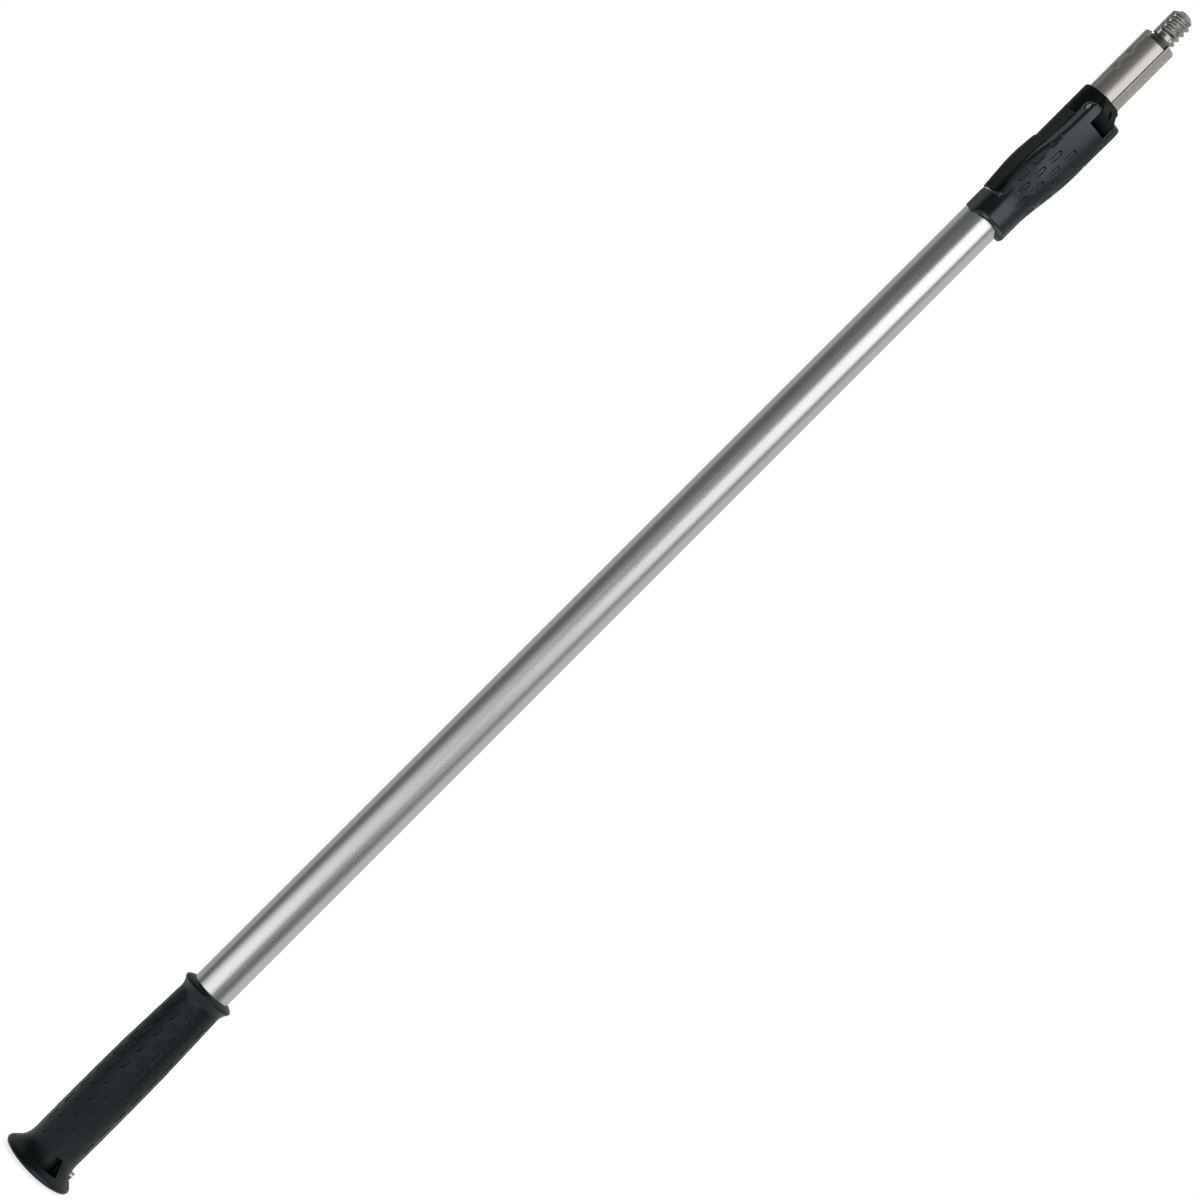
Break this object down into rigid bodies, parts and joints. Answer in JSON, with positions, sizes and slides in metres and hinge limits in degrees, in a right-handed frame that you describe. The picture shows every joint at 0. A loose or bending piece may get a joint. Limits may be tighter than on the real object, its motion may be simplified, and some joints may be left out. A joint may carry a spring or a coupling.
{
  "type": "roller extension pole",
  "caption": "Two-section telescopic pole for a paint roller, with a hinged lever lock, a flared rubber grip with hang windows and a standard threaded tip.",
  "frame": {"origin": "centre of the handle's end face, on the pole's axis", "axes": "+Z along the pole to the threaded tip; the lever of the lock faces -Y and its hinge pin lies along X"},
  "size_m": [0.0608, 0.0608, 1.2],
  "materials": {
    "outer_aluminium": "satin anodised silver, drawn lengthwise",
    "inner_aluminium": "satin anodised champagne grey",
    "tip_metal": "bright die casting, a little worn",
    "grip_rubber": "matte rubber with rows of small dashes",
    "housing_plastic": "satin black moulding",
    "lever_plastic": "satin charcoal moulding with stadium-shaped recesses",
    "dark_plastic": "dark grey moulding",
    "pale_nylon": "pale nylon",
    "black_rubber": "matte black rubber",
    "steel": "bright steel"
  },
  "bodies": {
    "outer": {"outer_tube": "outer_aluminium", "handle_grip": "grip_rubber", "end_plug": "dark_plastic", "plug_pin": "steel", "stop_cushion": "black_rubber", "grip_screw": "steel", "lock_housing": "housing_plastic", "guide_bushing": "pale_nylon", "wiper_ring": "black_rubber", "hinge_pin": "steel", "housing_rivets": "steel"},
    "lever": {"lever": "lever_plastic", "cam_insert": "pale_nylon", "cam_pin": "steel"},
    "brake": {"brake_shoe": "dark_plastic", "brake_pad": "black_rubber"},
    "inner": {"inner_tube": "inner_aluminium", "threaded_tip": "tip_metal", "inner_glide": "dark_plastic", "glide_pin": "steel"}
  },
  "joints": [
    {"name": "inner_slide", "type": "slide", "parent": "outer", "child": "inner", "axis": [0, 0, 1], "range_m": [0, 0.93]},
    {"name": "lever_hinge", "type": "hinge", "parent": "outer", "child": "lever", "pos_m": [0, -0.021, 1.0965], "axis": [-1, 0, 0], "range_deg": [0, 90]},
    {"name": "brake_slide", "type": "slide", "parent": "outer", "child": "brake", "axis": [0, -1, 0], "range_m": [0, 0.001]}
  ],
  "couplings": [
    {"joint": "brake_slide", "follows": "lever_hinge", "m_per_rad": 0.000625}
  ]
}
